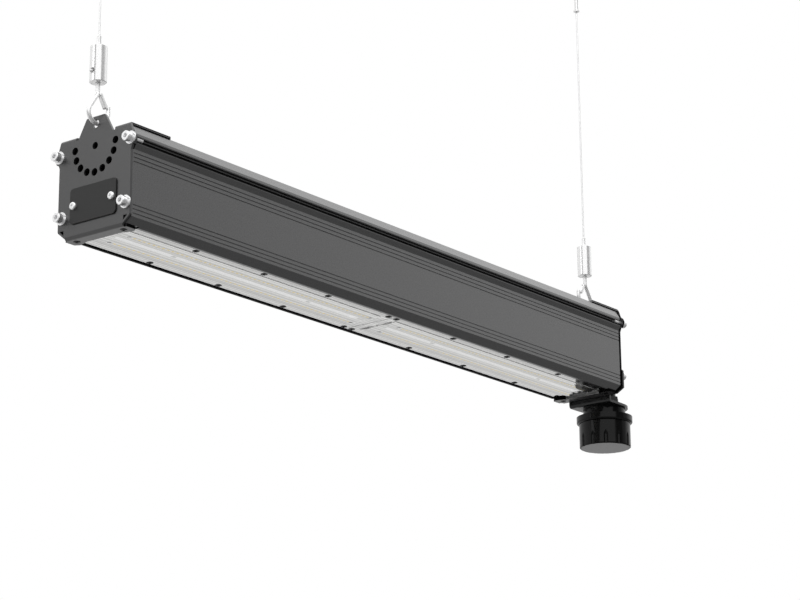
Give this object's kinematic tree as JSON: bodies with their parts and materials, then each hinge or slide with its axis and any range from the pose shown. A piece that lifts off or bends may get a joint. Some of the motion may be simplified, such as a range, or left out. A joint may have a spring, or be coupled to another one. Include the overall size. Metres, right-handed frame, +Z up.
{
  "type": "high bay light",
  "caption": "Long slim ceiling light in a finned black extrusion, hung by two wires with grippers and snap hooks, with clear lenses below and a twist-in sensor at one end.",
  "frame": {"origin": "on the ceiling plane, midway between the top faces of the two ceiling fittings", "axes": "+X along the light from the name plate's end to the sensor's end, +Y to the back, +Z up"},
  "size_m": [0.6551, 0.0762, 0.4234],
  "materials": {
    "black_aluminium": "fine powder coat, satin",
    "black_steel": "fine powder coat, satin",
    "name_plate": "matt anodised",
    "stainless": "polished",
    "nickel": "satin nickel plate",
    "hook_steel": "bright zinc plate",
    "wire_steel": "stranded, bright",
    "clear_lens": "clear, moulded",
    "white_board": "white solder mask",
    "led_chip": "phosphor",
    "seal_rubber": "matt",
    "black_plastic": "fine grain",
    "pale_plastic": "fine grain",
    "plain_aluminium": "extruded",
    "potting": "cast",
    "sensor_plastic": "gloss",
    "circuit_board": "solder mask"
  },
  "bodies": {
    "light": {"housing": "black_aluminium", "left_end_plate": "black_steel", "right_end_plate": "black_steel", "left_end_gasket": "seal_rubber", "right_end_gasket": "seal_rubber", "end_screws": "stainless", "spring_washers": "stainless", "flat_washers": "stainless", "name_plate": "name_plate", "name_plate_screws": "stainless", "left_lens": "clear_lens", "right_lens": "clear_lens", "left_lens_gasket": "seal_rubber", "right_lens_gasket": "seal_rubber", "left_led_board": "white_board", "right_led_board": "white_board", "left_leds": "led_chip", "right_leds": "led_chip", "lens_screws": "black_steel", "driver_case": "plain_aluminium", "driver_circuit": "potting", "driver_end_caps": "black_plastic", "driver_screws": "stainless", "terminal_block": "pale_plastic", "cable_gland_body": "black_plastic", "cable_gland_nut": "black_plastic", "cable_gland_locknut": "black_plastic", "cable_gland_seal": "seal_rubber", "lead_grommet": "seal_rubber", "sensor_bracket": "black_steel", "sensor_base": "sensor_plastic", "sensor_nut": "sensor_plastic", "left_ceiling_fitting": "nickel", "left_hook": "hook_steel", "left_gate_pin": "hook_steel", "right_ceiling_fitting": "nickel", "right_hook": "hook_steel", "right_gate_pin": "hook_steel"},
    "sensor_head": {"sensor_cap": "sensor_plastic", "sensor_plug": "sensor_plastic", "sensor_board": "circuit_board"},
    "left_gripper_unit": {"left_gripper_body": "nickel", "left_gripper_core": "nickel", "left_gripper_plug": "nickel", "left_wire": "wire_steel"},
    "left_plunger_unit": {"left_plunger": "nickel", "left_plunger_spring": "wire_steel"},
    "left_gate_unit": {"left_gate": "hook_steel", "left_gate_spring": "hook_steel"},
    "right_gripper_unit": {"right_gripper_body": "nickel", "right_gripper_core": "nickel", "right_gripper_plug": "nickel", "right_wire": "wire_steel"},
    "right_plunger_unit": {"right_plunger": "nickel", "right_plunger_spring": "wire_steel"},
    "right_gate_unit": {"right_gate": "hook_steel", "right_gate_spring": "hook_steel"}
  },
  "joints": [
    {"name": "left_swivel", "type": "hinge", "parent": "light", "child": "left_gripper_unit", "pos_m": [-0.299, 0, -0.2758], "axis": [0, 0, 1], "continuous": true},
    {"name": "left_plunger_press", "type": "slide", "parent": "left_gripper_unit", "child": "left_plunger_unit", "axis": [0, 0, -1], "range_m": [0, 0.0022], "stiffness_N_per_m": 800, "springref_m": -0.001, "deforming": ["left_plunger_spring"]},
    {"name": "left_gate_hinge", "type": "hinge", "parent": "light", "child": "left_gate_unit", "pos_m": [-0.29655, 0, -0.2841], "axis": [0, 1, 0], "range_deg": [0, 30], "stiffness_Nm_per_rad": 0.02, "springref_deg": -17.19},
    {"name": "right_swivel", "type": "hinge", "parent": "light", "child": "right_gripper_unit", "pos_m": [0.299, 0, -0.2758], "axis": [0, 0, 1], "continuous": true},
    {"name": "right_plunger_press", "type": "slide", "parent": "right_gripper_unit", "child": "right_plunger_unit", "axis": [0, 0, -1], "range_m": [0, 0.0022], "stiffness_N_per_m": 800, "springref_m": -0.001, "deforming": ["right_plunger_spring"]},
    {"name": "right_gate_hinge", "type": "hinge", "parent": "light", "child": "right_gate_unit", "pos_m": [0.29655, 0, -0.2841], "axis": [0, -1, 0], "range_deg": [0, 30], "stiffness_Nm_per_rad": 0.02, "springref_deg": -17.19},
    {"name": "sensor_twist", "type": "hinge", "parent": "light", "child": "sensor_head", "pos_m": [0.3226, 0, -0.40259], "axis": [0, 0, 1], "range_deg": [0, 30]}
  ]
}
